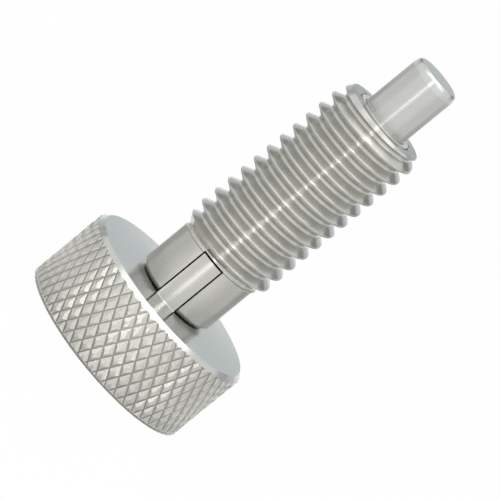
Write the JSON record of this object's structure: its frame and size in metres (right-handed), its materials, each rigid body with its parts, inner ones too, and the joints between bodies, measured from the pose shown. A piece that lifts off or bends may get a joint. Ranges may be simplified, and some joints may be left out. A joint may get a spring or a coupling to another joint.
{
  "type": "indexing plunger",
  "caption": "Spring-loaded indexing plunger: round pin in a threaded body with a slotted collar, pulled back by a knurled knob with locking keys.",
  "frame": {"origin": "centre of the knob's outer face, on which the plunger stands", "axes": "+Z along the axis from the knob to the pin's tip; the knob's two keys lie along Y"},
  "size_m": [0.019, 0.019, 0.0386],
  "materials": {
    "body_steel": "fine turned stainless steel",
    "bush_steel": "fine turned stainless steel",
    "pin_steel": "ground stainless steel",
    "spring_steel": "drawn stainless spring wire",
    "knob_steel": "turned and knurled stainless steel"
  },
  "bodies": {
    "sleeve": {"threaded_body": "body_steel", "nose_bush": "bush_steel", "compression_spring": "spring_steel"},
    "plunger": {"plunger_pin": "pin_steel", "knurled_knob": "knob_steel"}
  },
  "joints": [
    {"name": "knob_pull", "type": "slide", "parent": "sleeve", "child": "plunger", "axis": [0, 0, -1], "range_m": [0, 0.00615], "stiffness_N_per_m": 2320, "springref_m": -0.0026, "deforming": ["compression_spring"]}
  ]
}
